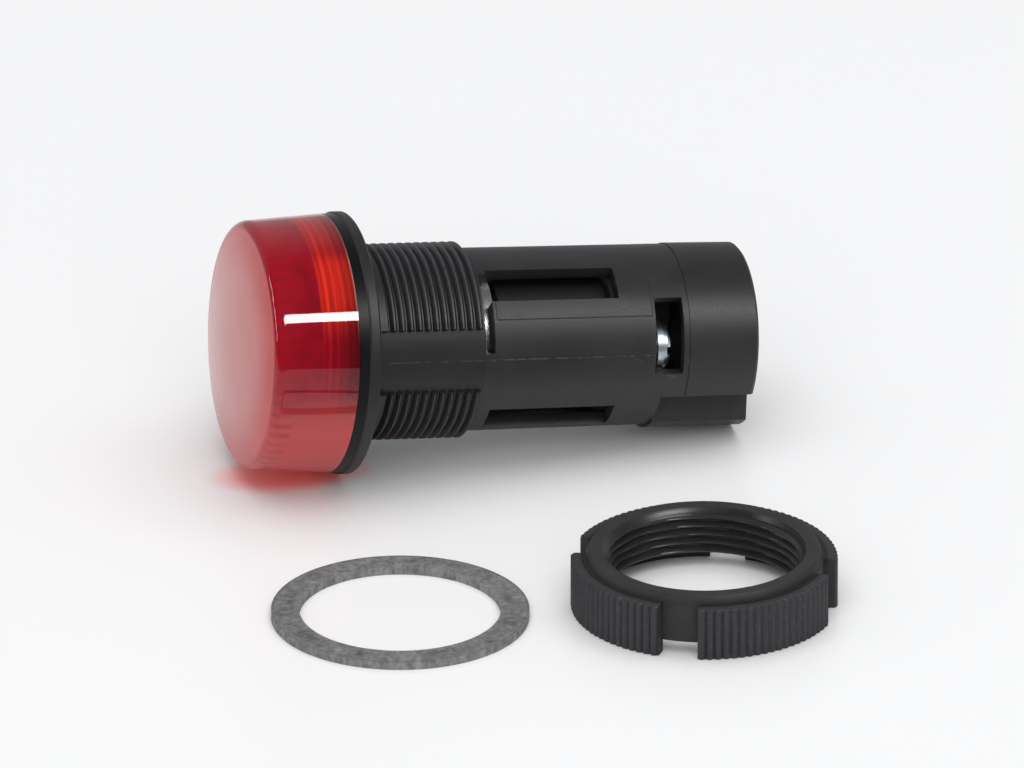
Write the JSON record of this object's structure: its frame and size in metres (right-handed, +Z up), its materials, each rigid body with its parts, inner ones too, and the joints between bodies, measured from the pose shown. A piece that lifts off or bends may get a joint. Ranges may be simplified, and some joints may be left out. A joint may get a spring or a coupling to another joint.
{
  "type": "panel pilot light",
  "caption": "Round red pilot light for a 22 mm panel hole, lying on its side with its ring nut and flat gasket laid beside it.",
  "frame": {"origin": "centre of the panel seat, where the flange's back face meets the barrel's axis", "axes": "+Z up from the table that the light rests on, +X along the light's heading from lens to terminals, +Y away from the loose nut and gasket"},
  "size_m": [0.066, 0.0778, 0.0295],
  "materials": {
    "red_lens": "gloss",
    "seal_rubber": "gloss",
    "black_housing": "satin",
    "bright_sleeve": "gloss",
    "socket_plastic": "matte",
    "plated_shell": "satin",
    "lamp_metal": "satin",
    "lamp_insulator": "gloss",
    "lamp_glass": "gloss",
    "filament_wire": "satin",
    "contact_brass": "satin",
    "block_plastic": "satin",
    "strip_brass": "satin",
    "zinc_steel": "satin",
    "nut_plastic": "matte",
    "gasket_rubber": "matte"
  },
  "bodies": {
    "light": {"housing": "black_housing", "heat_sleeve": "bright_sleeve", "lamp_socket": "socket_plastic", "socket_shell": "plated_shell", "lamp_base": "lamp_metal", "lamp_insulator": "lamp_insulator", "lamp_glass": "lamp_glass", "lamp_filament": "filament_wire", "centre_contact": "contact_brass", "terminal_block": "block_plastic", "terminal_strip_1": "strip_brass", "terminal_strip_2": "strip_brass", "rear_cap": "black_housing", "mounting_nut": "nut_plastic", "panel_gasket": "gasket_rubber"},
    "seal": {"lens_seal": "seal_rubber"},
    "lens": {"lens": "red_lens"},
    "washer_1": {"clamp_washer_1": "zinc_steel"},
    "washer_2": {"clamp_washer_2": "zinc_steel"},
    "screw_1": {"terminal_screw_1": "zinc_steel"},
    "screw_2": {"terminal_screw_2": "zinc_steel"}
  },
  "joints": [
    {"name": "lens_lift", "type": "slide", "parent": "light", "child": "seal", "axis": [-0.9957, 0, 0.0926], "range_m": [0, 0.004]},
    {"name": "lens_turn", "type": "hinge", "parent": "seal", "child": "lens", "pos_m": [-0.00597, 0, 0.00056], "axis": [-0.9957, 0, 0.0926], "range_deg": [0, 1440]},
    {"name": "screw_1_lift", "type": "slide", "parent": "light", "child": "washer_1", "axis": [0.9957, 0, -0.0926], "range_m": [0, 0.0015]},
    {"name": "screw_1_turn", "type": "hinge", "parent": "washer_1", "child": "screw_1", "pos_m": [0.03494, -0.00567, -0.0023], "axis": [0.9957, 0, -0.0926], "range_deg": [0, 900]},
    {"name": "screw_2_lift", "type": "slide", "parent": "light", "child": "washer_2", "axis": [0.9957, 0, -0.0926], "range_m": [0, 0.0015]},
    {"name": "screw_2_turn", "type": "hinge", "parent": "washer_2", "child": "screw_2", "pos_m": [0.03476, 0.00567, -0.00419], "axis": [0.9957, 0, -0.0926], "range_deg": [0, 900]}
  ],
  "couplings": [
    {"joint": "lens_turn", "follows": "lens_lift", "rad_per_m": 6283.2},
    {"joint": "screw_1_turn", "follows": "screw_1_lift", "rad_per_m": 10472},
    {"joint": "screw_2_turn", "follows": "screw_2_lift", "rad_per_m": 10472}
  ]
}
